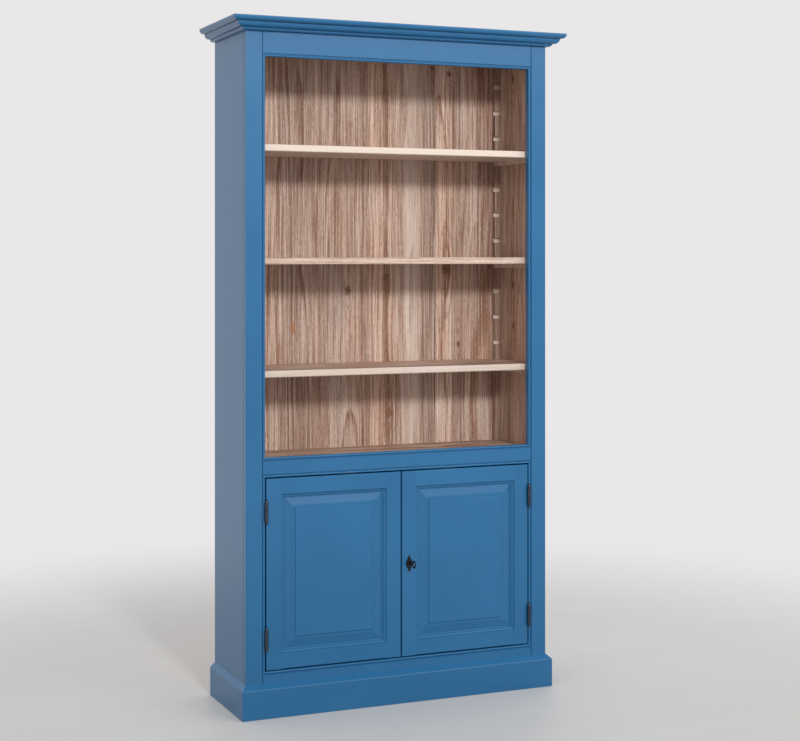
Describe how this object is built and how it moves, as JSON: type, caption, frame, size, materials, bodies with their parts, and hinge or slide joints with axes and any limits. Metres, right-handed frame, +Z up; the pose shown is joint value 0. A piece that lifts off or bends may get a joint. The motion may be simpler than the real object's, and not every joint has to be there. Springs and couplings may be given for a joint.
{
  "type": "bookcase with cabinet doors",
  "caption": "Tall painted wooden bookcase: open adjustable shelves above a panelled double-door cabinet, with a beaded face frame, cornice and plinth.",
  "frame": {"origin": "on the floor, below the centre of the outline", "axes": "+X to the right seen from the front, +Y from the doors to the back, +Z up"},
  "size_m": [1.15, 0.38, 2.17],
  "materials": {
    "painted_wood": "satin blue paint, bare wood where it is not seen",
    "inner_wood": "washed pine, matt",
    "shelf_wood": "pale washed pine, matt",
    "bronze": "dark bronzed",
    "steel": "zinc plated"
  },
  "bodies": {
    "carcass": {"side_left": "painted_wood", "side_right": "painted_wood", "stile_left": "painted_wood", "stile_right": "painted_wood", "rail_top": "painted_wood", "rail_middle": "painted_wood", "rail_bottom": "painted_wood", "cornice_front": "painted_wood", "cornice_left": "painted_wood", "cornice_right": "painted_wood", "plinth_front": "painted_wood", "plinth_left": "painted_wood", "plinth_right": "painted_wood", "top_board": "inner_wood", "deck_board": "inner_wood", "cabinet_shelf": "inner_wood", "bottom_board": "inner_wood", "back_board_1": "inner_wood", "back_board_2": "inner_wood", "back_board_3": "inner_wood", "back_board_4": "inner_wood", "back_board_5": "inner_wood", "back_board_6": "inner_wood", "rack_front_left": "inner_wood", "rack_front_right": "inner_wood", "rack_rear_left": "inner_wood", "rack_rear_right": "inner_wood", "shelf_cleats": "inner_wood", "glue_blocks": "inner_wood", "door_stops": "inner_wood", "bolt_keeper": "steel", "hinge_pins": "steel", "hinge_frame_screws": "steel", "hinge_frame_halves": "bronze", "hinge_rings": "bronze"},
    "left_door": {"left_outer_stile": "painted_wood", "left_meeting_stile": "painted_wood", "left_top_rail": "painted_wood", "left_bottom_rail": "painted_wood", "left_panel": "painted_wood", "left_hinge_halves": "bronze", "left_hinge_screws": "steel", "bolt_plates": "steel", "lock_strike": "steel"},
    "right_door": {"right_outer_stile": "painted_wood", "right_meeting_stile": "painted_wood", "right_top_rail": "painted_wood", "right_bottom_rail": "painted_wood", "right_panel": "painted_wood", "right_hinge_halves": "bronze", "right_hinge_screws": "steel", "lock_case": "steel", "escutcheon": "bronze"},
    "top_bolt": {"top_bolt": "steel"},
    "bottom_bolt": {"bottom_bolt": "steel"},
    "key": {"key": "bronze"},
    "lock_bolt": {"lock_bolt": "steel"},
    "shelf_lower": {"shelf_lower": "shelf_wood"},
    "shelf_middle": {"shelf_middle": "shelf_wood"},
    "shelf_upper": {"shelf_upper": "shelf_wood"}
  },
  "joints": [
    {"name": "left_door_hinge", "type": "hinge", "parent": "carcass", "child": "left_door", "pos_m": [-0.4579, -0.145, 0.44], "axis": [0, 0, -1], "range_deg": [0, 170]},
    {"name": "right_door_hinge", "type": "hinge", "parent": "carcass", "child": "right_door", "pos_m": [0.4579, -0.145, 0.44], "axis": [0, 0, 1], "range_deg": [0, 170]},
    {"name": "key_turn", "type": "hinge", "parent": "right_door", "child": "key", "pos_m": [0.027, -0.14, 0.4455], "axis": [0, -1, 0], "range_deg": [0, 180]},
    {"name": "lock_bolt_slide", "type": "slide", "parent": "right_door", "child": "lock_bolt", "axis": [-1, 0, 0], "range_m": [0, 0.012]},
    {"name": "top_bolt_slide", "type": "slide", "parent": "left_door", "child": "top_bolt", "axis": [0, 0, 1], "range_m": [0, 0.026]},
    {"name": "bottom_bolt_slide", "type": "slide", "parent": "left_door", "child": "bottom_bolt", "axis": [0, 0, -1], "range_m": [0, 0.026]},
    {"name": "shelf_lower_lift", "type": "slide", "parent": "carcass", "child": "shelf_lower", "axis": [0, 0, 1], "range_m": [0, 0.3]},
    {"name": "shelf_middle_lift", "type": "slide", "parent": "carcass", "child": "shelf_middle", "axis": [0, 0, 1], "range_m": [0, 0.3]},
    {"name": "shelf_upper_lift", "type": "slide", "parent": "carcass", "child": "shelf_upper", "axis": [0, 0, 1], "range_m": [0, 0.3]}
  ],
  "couplings": [
    {"joint": "lock_bolt_slide", "follows": "key_turn", "m_per_rad": 0.0038197}
  ]
}
